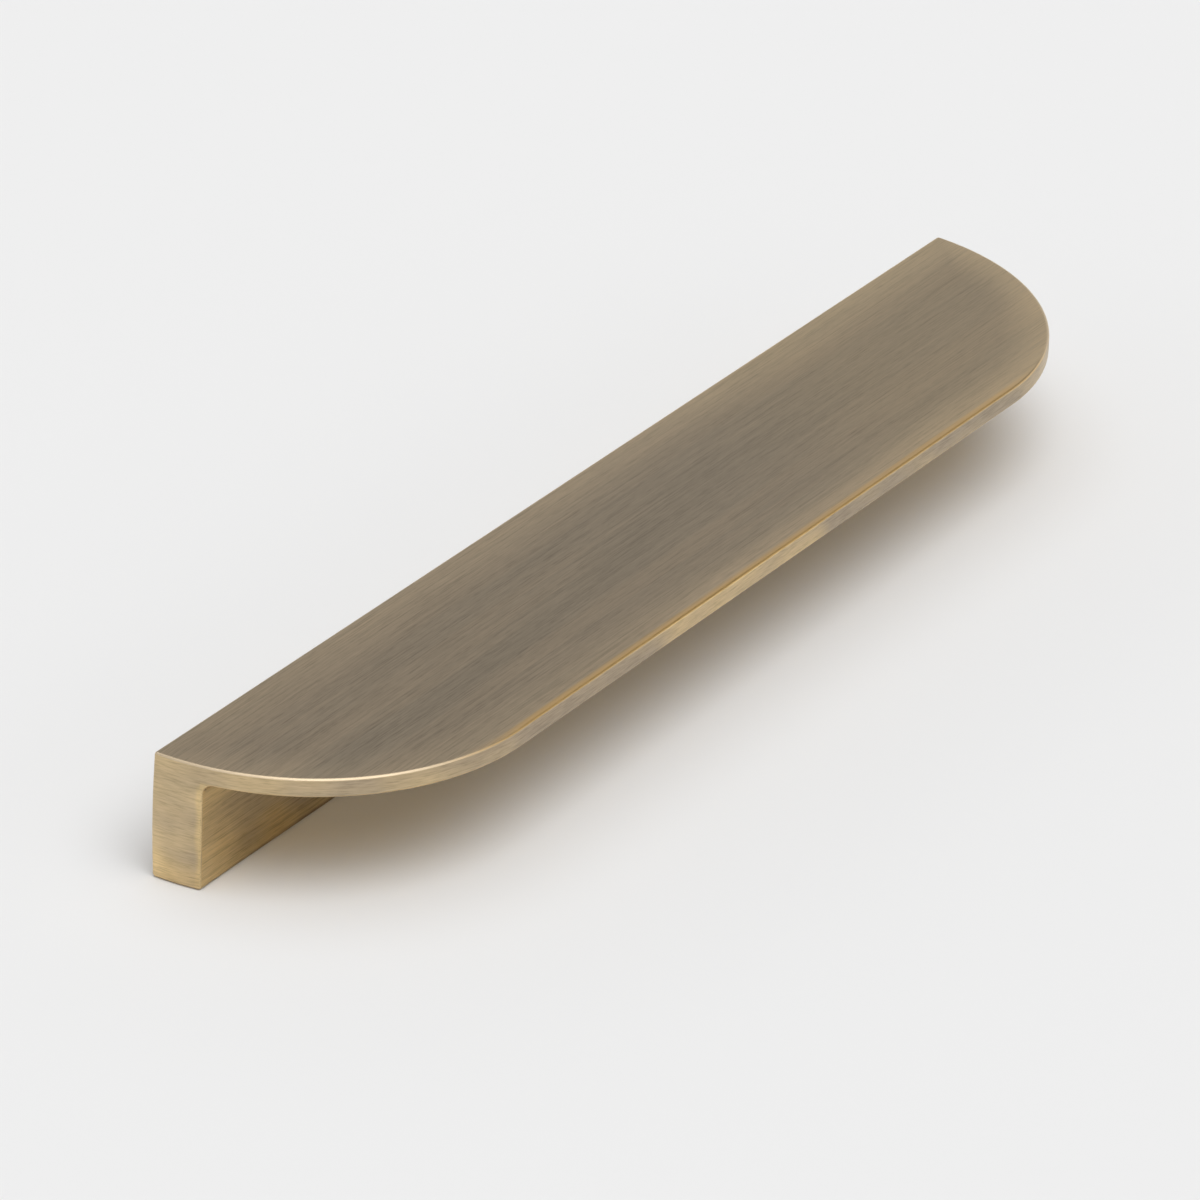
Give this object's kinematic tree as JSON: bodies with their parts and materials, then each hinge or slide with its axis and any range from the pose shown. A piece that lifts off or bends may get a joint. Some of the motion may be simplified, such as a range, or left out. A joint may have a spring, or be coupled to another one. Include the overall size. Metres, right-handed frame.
{
  "type": "cabinet pull",
  "caption": "Long lip-style cabinet pull in aged brass: flat plate with quarter-round ends overhanging an upright foot that is screwed on from behind.",
  "frame": {"origin": "middle of the foot's mounting face, midway between the two screw holes", "axes": "+X along the pull's length, -Y towards the lip's free edge, +Z away from the door or drawer front, towards the top of the plate"},
  "size_m": [0.2, 0.0359, 0.0195],
  "materials": {
    "aged_brass": "brushed along its length, aged to a grey-brown, with paler brass on the rubbed edges"
  },
  "bodies": {
    "root": {"pull_body": "aged_brass"}
  },
  "joints": []
}
